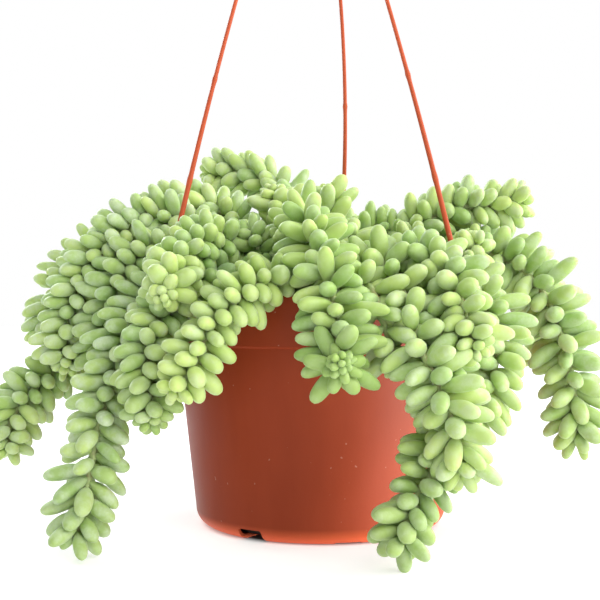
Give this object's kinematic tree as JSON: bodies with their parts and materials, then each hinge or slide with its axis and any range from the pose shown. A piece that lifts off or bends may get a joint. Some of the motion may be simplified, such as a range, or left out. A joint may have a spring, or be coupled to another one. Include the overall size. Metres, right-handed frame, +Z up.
{
  "type": "potted burro's tail plant",
  "caption": "Trailing succulent with plump leaves in a round plastic hanging pot with a strand hanger and hook, standing on its base.",
  "frame": {"origin": "middle of the pot's base, on the surface that the pot stands on", "axes": "+Z up towards the hook, -Y towards the front with the facing growing tip, +X to the right"},
  "size_m": [0.3029, 0.2366, 0.425],
  "materials": {
    "pot_plastic": "satin",
    "hanger_plastic": "satin",
    "potting_soil": "matte",
    "leaf": "matte"
  },
  "bodies": {
    "root": {"pot": "pot_plastic", "soil": "potting_soil", "strand_back": "hanger_plastic", "strand_right": "hanger_plastic", "strand_left": "hanger_plastic", "hook": "hanger_plastic", "shoot_front_centre": "leaf", "shoot_front_left": "leaf", "shoot_left_front": "leaf", "shoot_left_rosette": "leaf", "shoot_left_arch": "leaf", "shoot_left_middle": "leaf", "shoot_left_outer": "leaf", "shoot_left_low": "leaf", "shoot_left_trailer": "leaf", "shoot_back_left_top": "leaf", "shoot_left_top": "leaf", "shoot_crown_left": "leaf", "shoot_crown_right": "leaf", "shoot_crown_front": "leaf", "shoot_crown_back": "leaf", "shoot_inner_left": "leaf", "shoot_inner_right": "leaf", "shoot_right_back_arch": "leaf", "shoot_right_rosette": "leaf", "shoot_front_right": "leaf", "shoot_front_right_low": "leaf", "shoot_right_trailer": "leaf", "shoot_right_top": "leaf", "shoot_right_arch": "leaf", "shoot_right_small": "leaf", "shoot_right_back": "leaf", "shoot_front_rim": "leaf", "shoot_back_centre": "leaf", "shoot_back_left_trailer": "leaf", "shoot_left_back": "leaf", "shoot_back_right_trailer": "leaf", "shoot_back_top": "leaf"}
  },
  "joints": []
}
